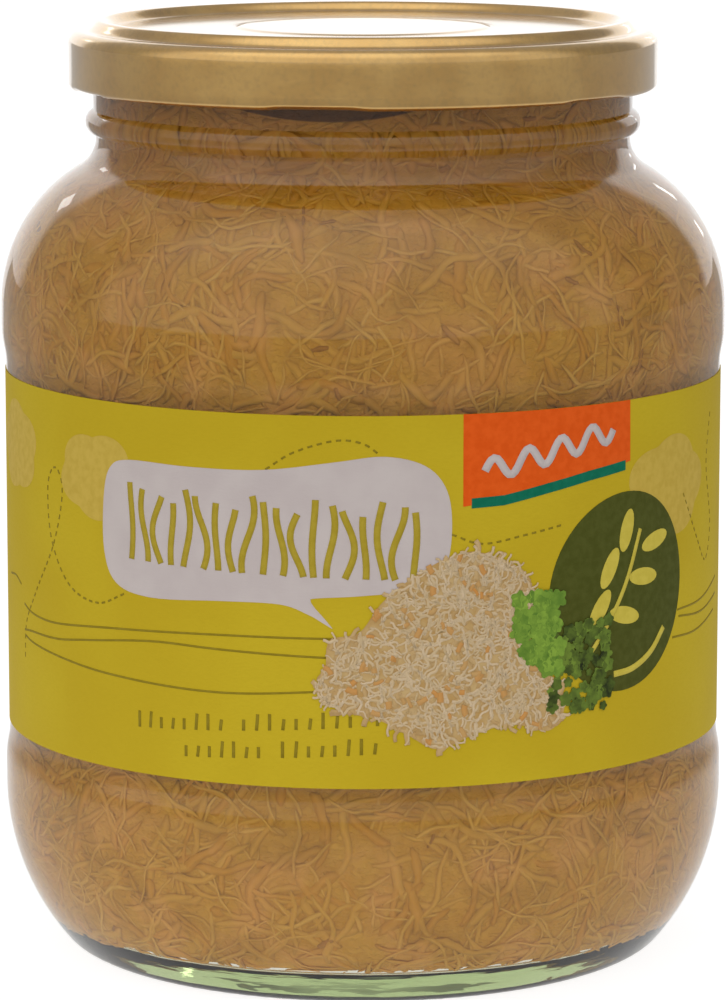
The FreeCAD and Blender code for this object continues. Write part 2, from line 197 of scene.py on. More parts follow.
def places_on(line, along, places):
    """Points of a line at the given places, measured along it."""
    return np.column_stack([np.interp(places, along, line[:, axis]) for axis in (0, 1)])


def evenly(points, gap):
    """The same outline with its points about gap apart."""
    along = ruler(points)
    return places_on(points, along, np.linspace(0, along[-1], max(2, round(along[-1] / gap) + 1)))


def ruler(line):
    """How far along a line each of its points is."""
    return np.r_[0, np.cumsum(np.hypot(*np.diff(line, axis=0).T))]


def clear_selection():
    if bpy.context.mode != "OBJECT":
        bpy.ops.object.mode_set(mode="OBJECT")
    bpy.ops.object.select_all(action="DESELECT")


def coordinates(piece):
    flat = np.empty(len(piece.data.vertices) * 3)
    piece.data.vertices.foreach_get("co", flat)
    return flat.reshape(-1, 3)


def move_vertices(piece, points):
    piece.data.vertices.foreach_set("co", np.ascontiguousarray(points).ravel())
    piece.data.update()


def turn_on_axis(name, outline, steps):
    """A piece turned about the axis from an outline of (radius, height) points in millimetres."""
    clear_selection()
    bpy.ops.mesh.primitive_plane_add(size=MM)
    piece = bpy.context.active_object
    piece.name = name
    bpy.ops.object.mode_set(mode="EDIT")
    bpy.ops.mesh.merge(type="CENTER")
    here = np.zeros(2)
    for count, point in enumerate(outline):
        step = (point - here) * MM
        shift = {"value": (step[0], 0, step[1])}
        if count == 0:
            bpy.ops.transform.translate(**shift)
        else:
            bpy.ops.mesh.extrude_vertices_move(TRANSFORM_OT_translate=shift)
        here = point
    bpy.ops.mesh.select_all(action="SELECT")
    bpy.ops.mesh.spin(steps=steps, angle=math.tau, center=(0, 0, 0), axis=(0, 0, 1))
    bpy.ops.mesh.select_all(action="SELECT")
    bpy.ops.mesh.remove_doubles(threshold=0.001 * MM)
    bpy.ops.mesh.normals_make_consistent(inside=False)
    bpy.ops.object.mode_set(mode="OBJECT")
    return piece


def add_modifier(piece, kind, **settings):
    """Adds a modifier and applies it at once."""
    clear_selection()
    piece.select_set(True)
    bpy.context.view_layer.objects.active = piece
    modifier = piece.modifiers.new(kind.lower(), kind)
    for key, value in settings.items():
        setattr(modifier, key, value)
    bpy.ops.object.modifier_apply(modifier=modifier.name)


def smooth(piece, angle=35):
    clear_selection()
    piece.select_set(True)
    bpy.context.view_layer.objects.active = piece
    bpy.ops.object.shade_smooth_by_angle(angle=math.radians(angle))


def file_piece(piece, material, stands_for=None):
    """Gives a finished piece its material, hangs it on the root body, and hides the measured node that it
    stands for.
    """
    if material is not None:
        piece.data.materials.clear()
        piece.data.materials.append(material)
    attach(piece, "root")
    if stands_for:
        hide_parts(stands_for)
    piece.data.calc_loop_triangles()
    print(piece.name, "has", len(piece.data.loop_triangles), "triangles")


# %% [markdown]
# ## The outlines of the glass
# A preserving jar is blown in a mould, so every curve of it is an arc that runs smoothly into the
# next. The centres of those arcs are worked out from the radii, as on a drawing, and one function
# gives the inside wall, moved outwards by any amount. The glass uses it as it is. The filling uses
# it a little larger, so that it bites into the glass and no film of air shows between them.
# %% Sizes of the glass
BODY = jar_high.x / MM
BORE = filling_high.x / MM
RIM = jar_high.z / MM
FLOOR = filling_low.z / MM
BRINE = filling_high.z / MM
LABEL_LOW = label_low.z / MM
LABEL_TOP = label_high.z / MM
LABEL_FACE = -label_low.y / MM
PAPER = 0.12
PANEL = LABEL_FACE - PAPER
HEEL_HEIGHT = 24.0
HEEL_RADIUS = 35.0
CORNER_RADIUS = 4.5
PUSH_UP = 2.5
RING_WIDTH = 2.0
EASE_RADIUS = 14.0
LABEL_MARGIN = 0.4
SHOULDER_LOW = 94.331
SHOULDER_RADIUS = 23.2
NECK_FILLET = 5.0
FINISH = 39.2
NECK = FINISH - 0.35
BEAD_CENTRE = (FINISH - 0.8, 120.942)
BEAD_RADIUS = 1.95
MOUTH = FINISH - 2.5
RIM_CURVE = 1.0
FLOOR_CORNER = 8.0


def leg(slope, other):
    """The second short side of a right-angled triangle."""
    return math.sqrt(slope ** 2 - other ** 2)


heel = (BODY - HEEL_RADIUS, HEEL_HEIGHT)
shoulder = (BODY - SHOULDER_RADIUS, SHOULDER_LOW)
fillet_out = NECK + NECK_FILLET
fillet = (fillet_out, SHOULDER_LOW + leg(SHOULDER_RADIUS + NECK_FILLET, fillet_out - shoulder[0]))
bore_heel = BORE - heel[0]
bore_fillet = fillet_out - MOUTH
bore_shoulder_radius = 20.75
bore_shoulder_out = BORE - bore_shoulder_radius
bore_drop = leg(bore_shoulder_radius + bore_fillet, fillet_out - bore_shoulder_out)
bore_shoulder = (bore_shoulder_out, fillet[1] - bore_drop)
floor_rise = HEEL_HEIGHT - FLOOR - FLOOR_CORNER
floor_corner = (heel[0] + leg(bore_heel - FLOOR_CORNER, floor_rise), FLOOR + FLOOR_CORNER)


def angle_of(centre, point):
    """The direction from a centre to a point, in degrees."""
    return math.degrees(math.atan2(point[1] - centre[1], point[0] - centre[0]))


def inside_wall(extra=0.0, fine=1):
    """The inside from the middle of the floor to the mouth, moved outwards by extra."""
    floor_turn = angle_of(heel, floor_corner)
    neck_turn = angle_of(bore_shoulder, fillet)
    return joined(
        (0.0, FLOOR - extra),
        arc(floor_corner, FLOOR_CORNER + extra, -90, floor_turn, 10 * fine),
        arc(heel, bore_heel + extra, floor_turn, 0, 12 * fine),
        arc(bore_shoulder, bore_shoulder_radius + extra, 0, neck_turn, 22 * fine),
        arc(fillet, bore_fillet - extra, neck_turn + 180, 180, 12 * fine),
        (MOUTH + extra, RIM - RIM_CURVE))


print("inside wall:", len(inside_wall()), "points, shoulder centre at", np.round(bore_shoulder, 3))


# %% [markdown]
# ## The glass itself
# The real jar is one piece of clear soda glass: a pushed-up base on a narrow knurled ring, a heel,
# a shallow panel that keeps the label off its neighbours, a round shoulder, a bead under the finish
# and six short ridges that the lid's lugs grip. Turning gives all that is round. The ridges and
# the knurls aren't round, so the vertices there are moved by a formula, which keeps the glass one
# closed skin: a glass made of overlapping skins would bend the light twice.
# %% Turn the glass
GLASS_STEPS = 192
RIDGES = 6
RIDGE_START = 12.76
RIDGE_SWEEP = 38.0
RIDGE_LOW = 127.142
RIDGE_HEIGHT = 2.6
RIDGE_REACH = 1.4
RIDGE_RISE = 2.2
RIDGE_FADE = 3.0
KNURL_DEPTH = 0.18
KNURL_INNER = 39.0
KNURL_OUTER = 43.0


def outside_wall():
    """The outside of the glass, from the middle of its base up over the rim."""
    corner_span = leg(HEEL_RADIUS - CORNER_RADIUS, HEEL_HEIGHT - CORNER_RADIUS)
    corner = (heel[0] + corner_span, CORNER_RADIUS)
    corner_turn = angle_of(heel, corner)
    ring_inner = corner[0] - RING_WIDTH
    across = np.linspace(0, 1, 13)
    push_up = np.column_stack((ring_inner * across, PUSH_UP * (1 - across ** 2)))
    ring = evenly(np.array([(ring_inner, 0.0), (corner[0], 0.0)]), 0.5)
    half = (BODY - PANEL) / 2
    ease_turn = math.degrees(math.acos(1 - half / EASE_RADIUS))
    ease_rise = 2 * EASE_RADIUS * math.sin(math.radians(ease_turn))
    panel_low = LABEL_LOW - LABEL_MARGIN
    panel_high = LABEL_TOP + LABEL_MARGIN
    out, into = BODY - EASE_RADIUS, PANEL + EASE_RADIUS
    neck_turn = angle_of(shoulder, fillet)
    bead_low = -math.degrees(math.acos((NECK - BEAD_CENTRE[0]) / BEAD_RADIUS))
    bead_high = math.degrees(math.acos((FINISH - BEAD_CENTRE[0]) / BEAD_RADIUS))
    bead = arc(BEAD_CENTRE, BEAD_RADIUS, bead_low, bead_high, 14)
    lip = (FINISH - RIM_CURVE, RIM - RIM_CURVE)
    finish = evenly(np.array([bead[-1], (FINISH, lip[1])]), 0.3)
    return joined(
        push_up, ring,
        arc(corner, CORNER_RADIUS, -90, corner_turn, 8),
        arc(heel, HEEL_RADIUS, corner_turn, 0, 20),
        arc((out, panel_low - ease_rise), EASE_RADIUS, 0, ease_turn, 5),
        arc((into, panel_low), EASE_RADIUS, 180 + ease_turn, 180, 5),
        arc((into, panel_high), EASE_RADIUS, 180, 180 - ease_turn, 5),
        arc((out, panel_high + ease_rise), EASE_RADIUS, -ease_turn, 0, 5),
        arc(shoulder, SHOULDER_RADIUS, 0, neck_turn, 26),
        arc(fillet, NECK_FILLET, neck_turn + 180, 180, 12),
        bead, finish,
        arc(lip, RIM_CURVE, 0, 90, 6))


def raise_ridges(piece):
    """Pushes out the six short sloping ridges of the finish."""
    points = coordinates(piece)
    radius = np.hypot(points[:, 0], points[:, 1]) / MM
    height = points[:, 2] / MM
    turn = (np.degrees(np.arctan2(points[:, 1], points[:, 0])) - RIDGE_START) % (360 / RIDGES)
    centre = RIDGE_LOW + RIDGE_HEIGHT / 2 + RIDGE_RISE * turn / RIDGE_SWEEP
    crown = np.clip(1 - (np.abs(height - centre) / (RIDGE_HEIGHT / 2)) ** 3, 0, 1)
    ends = np.clip(np.minimum(turn, RIDGE_SWEEP - turn) / RIDGE_FADE, 0, 1)
    outer = np.abs(radius - FINISH) < 0.05
    out = 1 + np.where(outer, RIDGE_REACH * crown * ends / FINISH, 0)
    points[:, 0] *= out
    points[:, 1] *= out
    move_vertices(piece, points)


def knurl_base(piece):
    """Lifts every second spoke of the ring that the jar stands on."""
    points = coordinates(piece)
    spoke = np.round(np.arctan2(points[:, 1], points[:, 0]) / math.tau * GLASS_STEPS).astype(int)
    radius = np.hypot(points[:, 0], points[:, 1]) / MM
    ring = (np.abs(points[:, 2]) < 0.4 * MM) & (radius > KNURL_INNER) & (radius < KNURL_OUTER)
    points[:, 2] += np.where(ring & (spoke % 2 == 1), KNURL_DEPTH * MM, 0)
    move_vertices(piece, points)


mouth_lip = (MOUTH + RIM_CURVE, RIM - RIM_CURVE)
glass_outline = joined(outside_wall(), arc(mouth_lip, RIM_CURVE, 90, 180, 6), inside_wall()[::-1])
glass = turn_on_axis("glass", glass_outline, GLASS_STEPS)
raise_ridges(glass)
knurl_base(glass)
smooth(glass)
print("glass outline:", len(glass_outline), "points")


# %% [markdown]
# ## The lid
# A twist-off lid is pressed from thin tinplate: a flat panel with a shallow safety button, a raised
# ring, a short skirt, and an edge that is curled in on itself. Where a lug is, the curl is squeezed
# inwards under a ridge of the glass. The outer face is turned as one open outline, the lugs are
# pressed by moving the vertices of the curl, and Solidify then gives the sheet its thickness.
# %% Turn, press and thicken the lid
LID = lid_high.x / MM
LID_TOP = lid_high.z / MM
SHEET = 0.24
LID_CORNER = 1.8
SHELF = 134.192
LID_PANEL = 134.34
RING_MIDDLE = 37.95
RING_FLAT = 0.35
RING_FLANK = 1.65
BUTTON_RADIUS = 17.5
BUTTON_RISE = 0.25
BUTTON_FLANK = 1.2
CURL_RADIUS = 0.9
CURL_TURN = 285
LUGS = 6
LUG_TURN = 21.0
LUG_SWEEP = 16.5
LUG_REACH = 1.6
LUG_FADE = 3.0
LUG_LIFT = 0.1
LID_STEPS = 216


def eased(start, end, steps):
    """A soft slope from one point to another, level at both ends."""
    along = np.linspace(0, 1, steps + 1)
    rise = along * along * (3 - 2 * along)
    out = start[0] + (end[0] - start[0]) * along
    return np.column_stack((out, start[1] + (end[1] - start[1]) * rise))


def lid_outline():
    """The outer face of the lid, from the middle of its button to the end of its curl."""
    curl = (LID - CURL_RADIUS, lid_low.z / MM + CURL_RADIUS)
    corner = (LID - LID_CORNER, SHELF - LID_CORNER)
    inner_foot = RING_MIDDLE - RING_FLAT - RING_FLANK
    outer_foot = RING_MIDDLE + RING_FLAT + RING_FLANK
    middle = np.column_stack((np.linspace(0, BUTTON_RADIUS, 10), np.full(10, LID_PANEL + BUTTON_RISE)))
    panel = evenly(np.array([(BUTTON_RADIUS + BUTTON_FLANK, LID_PANEL), (inner_foot, LID_PANEL)]), 2)
    return joined(
        middle,
        eased(middle[-1], (BUTTON_RADIUS + BUTTON_FLANK, LID_PANEL), 6), panel,
        eased((inner_foot, LID_PANEL), (RING_MIDDLE - RING_FLAT, LID_TOP), 10),
        eased((RING_MIDDLE + RING_FLAT, LID_TOP), (outer_foot, SHELF), 10),
        arc(corner, LID_CORNER, 90, 0, 10),
        evenly(np.array([(LID, corner[1]), (LID, curl[1])]), 1.0),
        arc(curl, CURL_RADIUS, 0, -CURL_TURN, 24))


def press_lugs(piece):
    """Squeezes the curl inwards at each lug, and lifts the edge of the skirt a hair there."""
    points = coordinates(piece)
    radius = np.hypot(points[:, 0], points[:, 1]) / MM
    height = points[:, 2] / MM
    pitch = 360 / LUGS
    turn = (np.degrees(np.arctan2(points[:, 1], points[:, 0])) - LUG_TURN + pitch / 2) % pitch - pitch / 2
    near = np.clip((LUG_SWEEP / 2 + LUG_FADE / 2 - np.abs(turn)) / LUG_FADE, 0, 1)
    near = near * near * (3 - 2 * near)
    low = height < lid_low.z / MM + 2 * CURL_RADIUS + 0.05
    inward = np.clip((LID - radius) / (2 * CURL_RADIUS), 0, 1) * low
    squeezed = radius - LUG_REACH * near * inward
    points[:, 0] *= squeezed / np.maximum(radius, 0.001)
    points[:, 1] *= squeezed / np.maximum(radius, 0.001)
    points[:, 2] += LUG_LIFT * MM * near * np.clip((lid_low.z / MM + 2 - height) / 2, 0, 1)
    move_vertices(piece, points)


lid = turn_on_axis("lid_shell", lid_outline(), LID_STEPS)
press_lugs(lid)
add_modifier(lid, "SOLIDIFY", thickness=SHEET * MM, offset=-1, use_even_offset=True)
smooth(lid, 40)
print("lid spans", np.round(np.ptp(coordinates(lid), axis=0) / MM, 2))


# %% [markdown]
# ## The bed of the filling
# Thousands of shreds fill the jar, but only the outermost few millimetres can be seen. The rest is
# one turned bed that follows the inside of the glass and bites a hair into it. Over the flat floor
# it settles a little short of the glass, because a real floor shines pale green there. Its lumps
# are real relief: a Displace modifier with a procedural cloud texture, which only ever pushes
# outwards, so the bed never leaves the wall. Rows that the label hides are left coarse.
# %% Turn the bed and raise its lumps
BITE = 0.15
BED_STEPS = 360
BED_ROW = 0.95
LUMP_DEPTH = 0.25
CLIMB = 3.4
CLIMB_WIDTH = 3.0
SETTLE = 1.15
SETTLE_HEIGHT = 1.2


def filling_outline(extra):
    """The inside wall up past the brine, then the surface of the filling back to the axis."""
    wall = inside_wall(extra, fine=4)
    wall = joined(wall[wall[:, 1] < BRINE - 1], (MOUTH + extra, BRINE + CLIMB))
    rest = inside_wall(extra - SETTLE, fine=4)
    low = np.clip((FLOOR + SETTLE_HEIGHT - wall[:, 1]) / 2, 0, 1)[:, None]
    wall = wall * (1 - low) + rest[:len(wall)] * low
    surface = [(MOUTH - CLIMB_WIDTH / 3, BRINE + CLIMB), (MOUTH - CLIMB_WIDTH, BRINE), (0.0, BRINE)]
    return joined(wall, surface)


def bed_outline():
    """The filling's outline, evenly divided, but coarse behind the label."""
    rows = evenly(filling_outline(BITE), BED_ROW)
    hidden = (rows[:, 1] > LABEL_LOW + 4) & (rows[:, 1] < LABEL_TOP - 4) & (rows[:, 0] > BORE - 1)
    kept = ~hidden | (np.arange(len(rows)) % 6 == 0)
    return rows[kept]


lump_texture = bpy.data.textures.new("lumps", "CLOUDS")
lump_texture.noise_scale = 4.5 * MM
lump_texture.noise_depth = 2
bed = turn_on_axis("cabbage_bed", bed_outline(), BED_STEPS)
add_modifier(bed, "DISPLACE", texture=lump_texture, texture_coords="LOCAL",
             strength=LUMP_DEPTH * MM, mid_level=0.0)
smooth(bed, 180)
print("bed reaches", round(float(coordinates(bed)[:, 0].max() / MM), 2), "mm; wall starts at", round(BORE, 2))


# %% [markdown]
# ## The shreds
# Each shred is a thin, slightly twisted ribbon with tapered ends, between four and sixteen
# millimetres long, pressed flat against the glass. Neighbours lie in much the same direction, as
# they do in a filling that was stuffed in by hand. A shred's section has the same six corners all
# along, so all sections are worked out at once and swept along every path together, which is far
# quicker than thousands of operators. A path is a gentle random walk over the inside wall: it turns a little
# at each step and rises and sinks by fractions of a millimetre, so shreds cross over each other.
# A number is kept on the vertices of each shred, and the material reads it as that shred's tone.
# %% Sweep many ribbons at once
def sweep(name, paths, across, up, width, thickness, tone, sides=6):
    """One mesh of many ribbons; the arrays are (ribbon, step, xyz) and (ribbon, step) in metres.

    A section has four or six sides, and each end is closed with one or two four-sided faces.
    """
    count, steps = paths.shape[:2]
    turn = np.arange(sides) / sides * math.tau + math.pi / sides
    flat = np.cos(turn)[None, None, :, None] * (across * width[..., None])[:, :, None, :]
    tall = np.sin(turn)[None, None, :, None] * (up * thickness[..., None])[:, :, None, :]
    points = (paths[:, :, None, :] + (flat + tall) / 2).reshape(-1, 3)
    ring = np.arange(sides)
    after = (ring + 1) % sides
    step = np.arange(steps - 1)[:, None] * sides
    skin = np.stack((step + ring, step + after, step + sides + after, step + sides + ring), -1)
    first = np.array([(3, 2, 1, 0)] if sides == 4 else [(3, 2, 1, 0), (5, 4, 3, 0)])
    last = first[:, ::-1] + (steps - 1) * sides
    one = np.vstack((skin.reshape(-1, 4), first, last))
    faces = (one[None] + (np.arange(count) * steps * sides)[:, None, None]).reshape(-1, 4)
    mesh = bpy.data.meshes.new(name)
    mesh.from_pydata(points, [], faces.tolist())
    mesh.update()
    shade = mesh.attributes.new("tone", "FLOAT", "POINT")
    shade.data.foreach_set("value", np.repeat(tone, steps * sides).astype(np.float32))
    mesh.shade_smooth()
    piece = bpy.data.objects.new(name, mesh)
    bpy.context.scene.collection.objects.link(piece)
    return piece


def unit(vectors):
    return vectors / np.maximum(np.linalg.norm(vectors, axis=-1, keepdims=True), 1e-12)


# %% [markdown]
# ## Where the shreds lie
# The walk needs the wall as one line to go along, with its outward direction at every point. Places
# behind the label are never drawn, and a wide part of the jar gets more shreds than a narrow one.
# Four kinds are laid, from broad amber ones to dark specks, each as one piece.
# %% Walk the shreds over the inside wall
track = evenly(filling_outline(BITE), 0.5)
track_slope = unit(np.gradient(track, axis=0))
track_out = np.column_stack((track_slope[:, 1], -track_slope[:, 0]))
track_steps = ruler(track)
TRACK_END = track_steps[-1]


def on_track(values, along):
    return np.interp(along, track_steps, values)


SHRED_STEPS = 9
STRAY = 0.75
LEAN = 0.1
BEND = 0.1
CURL = 0.22


def lay_shreds(name, count, length, width, thickness, depth, seed):
    """Random ribbons on the wall of the glass; every range is (low, high) in millimetres."""
    dice = np.random.default_rng(seed)
    steps = SHRED_STEPS
    hidden = (track[:, 1] > LABEL_LOW + 2) & (track[:, 1] < LABEL_TOP - 2) & (track[:, 0] > BORE - 1)
    chance = np.where(hidden, 0, track[:, 0] + 1)
    along = dice.choice(track_steps, count, p=chance / chance.sum()) + dice.uniform(-0.4, 0.4, count)
    turn = dice.uniform(0, math.tau, count)
    flow = 1.3 * np.sin(3 * turn + along * 0.09) + 1.1 * np.sin(5 * turn - along * 0.13 + 1)
    heading = flow + dice.normal(0, STRAY, count) + math.pi * dice.integers(0, 2, count)
    stride = dice.uniform(*length, count) / (steps - 1)
    bend = dice.normal(0, BEND, count)
    wave = dice.uniform(0, math.tau, (2, count))
    lift = dice.uniform(*depth, count)
    ribbon = np.empty((count, steps, 3))
    outward = np.empty((count, steps, 3))
    for step in range(steps):
        along = np.clip(along, 1, TRACK_END - 1)
        radius = on_track(track[:, 0], along)
        height = on_track(track[:, 1], along)
        out_r = on_track(track_out[:, 0], along)
        out_z = on_track(track_out[:, 1], along)
        rise = lift + 0.05 * np.sin(wave[0] + step * 0.9)
        cos, sin = np.cos(turn), np.sin(turn)
        out = radius + out_r * rise
        ribbon[:, step] = np.column_stack((out * cos, out * sin, height + out_z * rise))
        outward[:, step] = np.column_stack((out_r * cos, out_r * sin, out_z))
        heading = heading + (bend + CURL * np.sin(wave[1] + step * 1.1)) * stride
        along = along + np.sin(heading) * stride
        turn = turn + np.cos(heading) * stride / np.maximum(radius, 6)
    outward = unit(outward)
    side = unit(np.cross(outward, unit(np.gradient(ribbon, axis=1))))
    lean = dice.normal(0, LEAN, (count, 1, 1))
    lean = lean + np.linspace(-1, 1, steps)[None, :, None] * dice.normal(0, LEAN, (count, 1, 1))
    across = side * np.cos(lean) + outward * np.sin(lean)
    up = outward * np.cos(lean) - side * np.sin(lean)
    ends = np.sqrt(np.clip(np.minimum(np.arange(steps), np.arange(steps)[::-1]) + 0.12, 0, 1))
    uneven = 1 + 0.18 * np.sin(wave[0][:, None] + np.arange(steps) * 1.3)
    wide = dice.uniform(*width, (count, 1)) * ends * uneven
    thick = dice.uniform(*thickness, (count, 1)) * ends
    return sweep(name, ribbon * MM, across, up, wide * MM, thick * MM, dice.uniform(0, 1, count))


DIP_DEPTH = 3.6
DIP_TURN = -101.0
DIP_SWEEP = 26.0


def dip_front(piece):
    """Lets the shreds sag at the front, where a dark gap shows under the lid."""
    points = coordinates(piece)
    turn = np.degrees(np.arctan2(points[:, 1], points[:, 0])) - DIP_TURN
    near = np.clip(1 - (turn / DIP_SWEEP) ** 2, 0, 1)
    high = np.clip((points[:, 2] / MM - BRINE + 3) / (CLIMB + 3), 0, 1)
    points[:, 2] -= DIP_DEPTH * MM * near * high
    move_vertices(piece, points)


shreds_mid = lay_shreds("shreds_mid", 1900, (6, 16), (0.7, 1.5), (0.12, 0.18), (0.1, 0.3), 3)
shreds_pale = lay_shreds("shreds_pale", 1800, (5, 14), (0.35, 0.8), (0.1, 0.16), (0.16, 0.34), 5)
shreds_amber = lay_shreds("shreds_amber", 1500, (4, 12), (0.8, 1.9), (0.1, 0.18), (0.1, 0.3), 7)
specks = lay_shreds("shreds_dark", 160, (1.5, 3.6), (0.4, 1.0), (0.1, 0.16), (0.2, 0.34), 9)
for piece in (shreds_mid, shreds_pale, shreds_amber, specks):
    dip_front(piece)
    print(piece.name, len(piece.data.polygons), "faces")


# %% [markdown]
# ## The paper label
# The label is one strip of paper, once round the panel of the jar, with its ends glued over each
# other at the back. A flat grid is bent round the glass by a formula that lifts its last
# few millimetres over the first, and is then given its thickness.
# %% Cut the paper and wrap it
SEAM_TURN = 90.0
OVERLAP = 9.85
LIFT_TURN = 1.2


def wrap_label():
    clear_selection()
    bpy.ops.mesh.primitive_grid_add(x_subdivisions=340, y_subdivisions=26, size=1.0)
    sheet = bpy.context.active_object
    sheet.name = "paper_label"
    points = coordinates(sheet)
    turn = SEAM_TURN + (points[:, 0] + 0.5) * (360 + OVERLAP)
    lap = np.clip((turn - SEAM_TURN - 360 + LIFT_TURN) / LIFT_TURN, 0, 1)
    radius = LABEL_FACE + PAPER * lap
    height = LABEL_LOW + (points[:, 1] + 0.5) * (LABEL_TOP - LABEL_LOW)
    angle = np.radians(turn)
    move_vertices(sheet, np.column_stack((radius * np.cos(angle), radius * np.sin(angle), height)) * MM)
    return sheet


label = wrap_label()
add_modifier(label, "SOLIDIFY", thickness=PAPER * MM, offset=-1, use_even_offset=True)
smooth(label)
print("label spans", np.round(np.ptp(coordinates(label), axis=0) / MM, 2))


# %% [markdown]
# ## Printing on the label
# Ink lies on the paper as flat fields. Each field starts as a filled circle whose vertices are moved
# to its outline in the plane of the label, in millimetres to the right of the middle and
# up from the lower edge. It is cut into narrow strips with Bisect, so that it can bend, wrapped on
# the paper at its own level, and given a film's thickness. No words are printed: plain strokes and
# dashes stand in their places.
# %% Helpers for printed fields
FILM = 0.05
LEVEL = 0.02
CUT = 2.0


def on_label(right, up, level):
    """The place on the wrapped label of a point of the flat artwork, in metres."""
    radius = LABEL_FACE + LEVEL * level
    turn = np.asarray(right) / LABEL_FACE
    return np.stack((radius * np.sin(turn), -radius * np.cos(turn), LABEL_LOW + np.asarray(up)), -1) * MM


def smoothed(before, here, after, later, steps):
    """Points of the smooth curve from here to after, given one point more at each end."""
    line = []
    for t in np.arange(steps) / steps:
        line.append(0.5 * (2 * here + (after - before) * t
                           + (2 * before - 5 * here + 4 * after - later) * t ** 2
                           + (3 * here - before - 3 * after + later) * t ** 3))
    return np.stack(line, axis=1).reshape(-1, 2)


def rounded(corners, steps=6):
    """A smooth closed line through a few points."""
    corners = np.asarray(corners, float)
    before, after, later = (np.roll(corners, shift, axis=0) for shift in (1, -1, -2))
    return smoothed(before, corners, after, later, steps)


def print_field(name, outline, level):
    """A flat printed shape, bent round the label."""
    outline = np.asarray(outline, float)
    clear_selection()
    bpy.ops.mesh.primitive_circle_add(vertices=len(outline), radius=1.0, fill_type="NGON")
    field = bpy.context.active_object
    field.name = name
    drawn = coordinates(field)
    order = np.argsort(np.arctan2(drawn[:, 1], drawn[:, 0]))
    points = np.zeros((len(outline), 3))
    points[order, 0] = outline[:, 0]
    points[order, 2] = outline[:, 1]
    move_vertices(field, points)
    bpy.ops.object.mode_set(mode="EDIT")
    for place in np.arange(outline[:, 0].min() + CUT, outline[:, 0].max(), CUT):
        bpy.ops.mesh.select_all(action="SELECT")
        bpy.ops.mesh.bisect(plane_co=(place, 0, 0), plane_no=(1, 0, 0))
    bpy.ops.object.mode_set(mode="OBJECT")
    flat = coordinates(field)
    move_vertices(field, on_label(flat[:, 0], flat[:, 2], level))
    face_out(field)
    add_modifier(field, "SOLIDIFY", thickness=FILM * MM, offset=-1)
    return field


def face_out(piece):
    """Turns a patch over if its faces look at the axis."""
    faces = piece.data.polygons
    if sum(face.normal.x * face.center.x + face.normal.y * face.center.y for face in faces) < 0:
        piece.data.flip_normals()


def print_lines(name, lines, width, level, steps=24, tone=None):
    """Strokes of ink along lines of (right, up) points."""
    drawn = []
    for line in lines:
        line = np.asarray(line, float)
        along = ruler(line)
        drawn.append(places_on(line, along, np.linspace(0, along[-1], steps)))
    rights, ups = np.moveaxis(drawn, -1, 0)
    paths = on_label(rights, ups, level - 0.6)
    out = unit(paths * np.array([1, 1, 0]))
    side = unit(np.cross(out, unit(np.gradient(paths, axis=1))))
    wide = np.broadcast_to(np.atleast_1d(width)[:, None], rights.shape) * math.sqrt(2)
    thick = np.full(rights.shape, FILM * math.sqrt(2))
    tones = np.zeros(len(lines)) if tone is None else tone
    return sweep(name, paths, side, out, wide * MM, thick * MM, tones, sides=4)


def curve_through(points, steps=8):
    """A smooth open line through a few points."""
    points = np.asarray(points, float)
    ends = np.vstack((2 * points[0] - points[1], points, 2 * points[-1] - points[-2]))
    return np.vstack((smoothed(ends[:-3], ends[1:-2], ends[2:-1], ends[3:], steps), points[-1]))


# %% [markdown]
# ## The large fields
# A speech bubble, a tag with a strip under it, a dark oval and soft clouds carry the colour of the
# label. The bubble's outline has only the points that give its shape, and a smooth curve joins them;
# the tag and strip are plain outlines, and the oval and clouds come from formulas.
# %% The large fields
bubble_outline = rounded([
    (-39.9, 38.5), (-38.6, 42.8), (-35.0, 44.2), (-25.0, 44.1), (-14.0, 44.3), (-4.0, 45.6),
    (3.0, 46.4), (8.6, 45.0), (11.6, 41.5), (12.3, 36.0), (11.3, 30.6), (8.0, 28.0),
    (0.0, 27.1), (-6.4, 26.7), (-7.2, 26.3), (-6.6, 25.3), (-5.6, 24.2), (-4.5, 22.9),
    (-4.2, 22.5), (-4.6, 22.7), (-5.6, 23.3), (-7.6, 24.4), (-11.6, 25.7), (-20.0, 25.7),
    (-31.5, 25.2), (-37.6, 26.6), (-39.9, 31.0)])
bubble = print_field("print_bubble", bubble_outline, 2)
tag = print_field("print_tag", [
    (13.9, 39.2), (22.5, 40.2), (32.0, 41.6), (41.5, 43.4), (41.4, 52.0), (13.9, 52.0)], 2)
strip = print_field("print_strip", [
    (15.1, 38.9), (19.9, 39.1), (26.7, 40.3), (33.5, 41.4), (40.5, 42.2),
    (40.5, 43.6), (33.5, 42.8), (26.7, 41.7), (19.9, 40.5), (15.1, 40.3)], 3)


def oval(centre, half_wide, half_high, lean, points=64):
    turn = np.arange(points) / points * math.tau
    right = half_wide * np.cos(turn)
    up = half_high * np.sin(turn)
    cos, sin = math.cos(math.radians(lean)), math.sin(math.radians(lean))
    return np.column_stack((centre[0] + right * cos - up * sin, centre[1] + right * sin + up * cos))


badge = print_field("print_badge", oval((40.5, 25.0), 13.6, 14.2, -18), 2)


def cloud(centre, half_wide, half_high, bumps, start):
    """A soft cloud: an oval with shallow bays."""
    turn = np.arange(72) / 72 * math.tau
    bay = 0.86 + 0.14 * np.abs(np.sin((turn - start) * bumps / 2))
    right = centre[0] + half_wide * bay * np.cos(turn)
    return np.column_stack((right, centre[1] + half_high * bay * np.sin(turn)))


